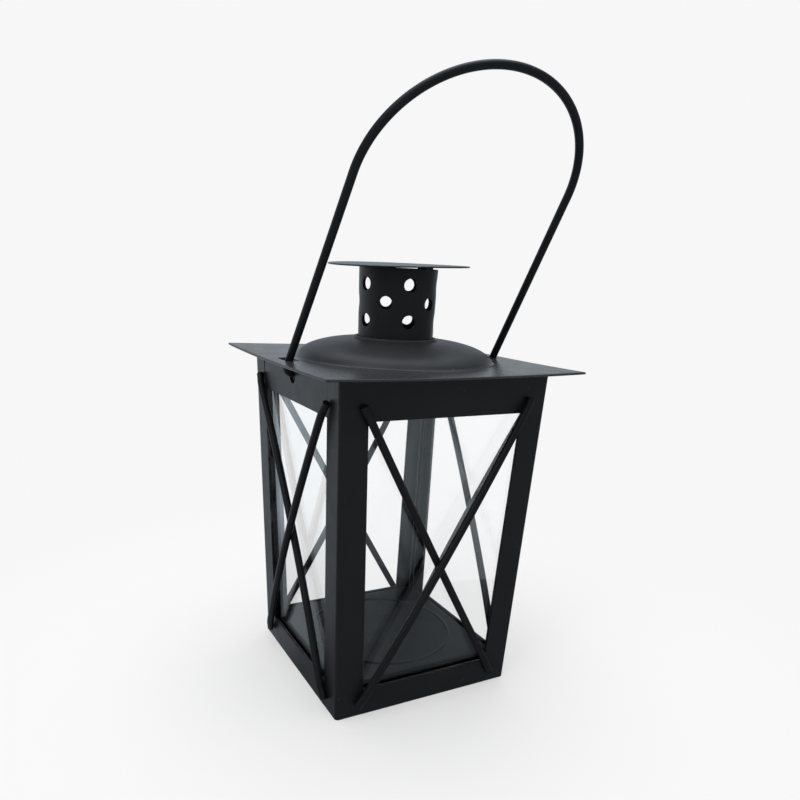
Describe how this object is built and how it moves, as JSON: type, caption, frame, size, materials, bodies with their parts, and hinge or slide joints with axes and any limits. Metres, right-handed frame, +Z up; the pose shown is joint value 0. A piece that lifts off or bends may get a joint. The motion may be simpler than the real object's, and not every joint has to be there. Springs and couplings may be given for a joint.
{
  "type": "glass-sided metal lantern",
  "caption": "Tapered metal lantern with glass panes behind crossed rods, a lift-off domed roof with pierced chimney and rain cap, a raised candle floor and a swinging wire bail.",
  "frame": {"origin": "centre of the square base, on the surface that the lantern stands on", "axes": "+Z up; the front face looks along -Y; the bail's pivots lie on a line along X, in the left (-X) and right (+X) faces; at rest the bail leans towards -Y"},
  "size_m": [0.092, 0.1069, 0.195],
  "materials": {
    "frame_black": "satin black powder coat on thin steel sheet",
    "rod_black": "satin black powder coat on round rod",
    "floor_black": "satin black powder coat on pressed sheet",
    "roof_black": "satin black powder coat on pressed sheet",
    "chimney_black": "satin black powder coat on rolled sheet",
    "cap_black": "satin black powder coat on a flat disc",
    "wire_black": "satin black powder coat on round wire",
    "clip_steel": "plain bent strip, dull",
    "pane_glass": "clear flat float glass, very slightly hazy"
  },
  "bodies": {
    "lantern": {"corner_post_front_left": "frame_black", "corner_post_front_right": "frame_black", "corner_post_back_left": "frame_black", "corner_post_back_right": "frame_black", "top_rail_front": "frame_black", "top_rail_right": "frame_black", "top_rail_back": "frame_black", "top_rail_left": "frame_black", "bottom_rail_front": "frame_black", "bottom_rail_right": "frame_black", "bottom_rail_back": "frame_black", "bottom_rail_left": "frame_black", "glass_pane_front": "pane_glass", "glass_pane_right": "pane_glass", "glass_pane_back": "pane_glass", "glass_pane_left": "pane_glass", "pane_clip_front_left": "clip_steel", "pane_clip_front_right": "clip_steel", "pane_clip_right_left": "clip_steel", "pane_clip_right_right": "clip_steel", "pane_clip_back_left": "clip_steel", "pane_clip_back_right": "clip_steel", "pane_clip_left_left": "clip_steel", "pane_clip_left_right": "clip_steel", "cross_rod_front_falling": "rod_black", "cross_rod_front_rising": "rod_black", "cross_rod_right_falling": "rod_black", "cross_rod_right_rising": "rod_black", "cross_rod_back_falling": "rod_black", "cross_rod_back_rising": "rod_black", "cross_rod_left_falling": "rod_black", "cross_rod_left_rising": "rod_black", "floor_pan": "floor_black"},
    "roof": {"roof_plate": "roof_black", "chimney": "chimney_black", "rain_cap": "cap_black"},
    "bail": {"bail": "wire_black"}
  },
  "joints": [
    {"name": "bail_swing", "type": "hinge", "parent": "lantern", "child": "bail", "pos_m": [0, 0, 0.1036], "axis": [-1, 0, 0], "range_deg": [0, 67]},
    {"name": "roof_lift", "type": "slide", "parent": "lantern", "child": "roof", "axis": [0, -0.5519, 0.8339], "range_m": [0, 0.045]}
  ]
}
